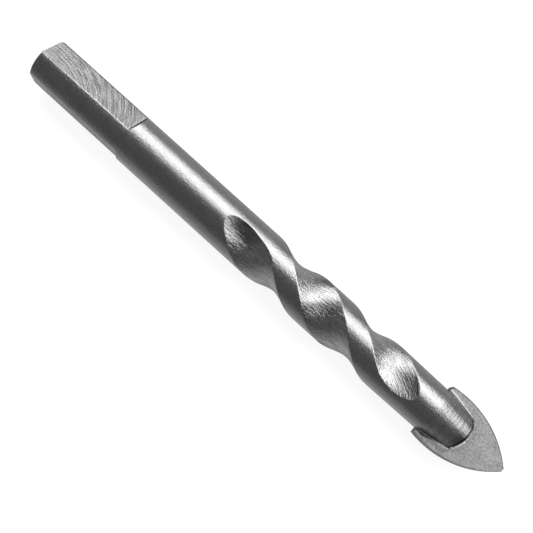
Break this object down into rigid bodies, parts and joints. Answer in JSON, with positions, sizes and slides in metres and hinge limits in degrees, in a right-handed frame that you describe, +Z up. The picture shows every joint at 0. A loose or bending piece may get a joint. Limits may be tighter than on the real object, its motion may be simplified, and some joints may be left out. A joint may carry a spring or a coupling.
{
  "type": "glass and tile drill bit",
  "caption": "Spear-point drill bit for glass and tile: fluted steel body with flats on the shank and a brazed hard-metal plate.",
  "frame": {"origin": "under the middle of the bit, on the surface it lies on", "axes": "+X along the bit's axis toward the point, +Y across the plate, +Z up"},
  "size_m": [0.075, 0.0076, 0.0065],
  "materials": {
    "steel_body": "satin, turned and ground",
    "carbide_tip": "matte sintered hard metal",
    "braze_seam": "bright ragged braze"
  },
  "bodies": {
    "root": {"steel_body": "steel_body", "carbide_tip": "carbide_tip", "braze_seam": "braze_seam"}
  },
  "joints": []
}
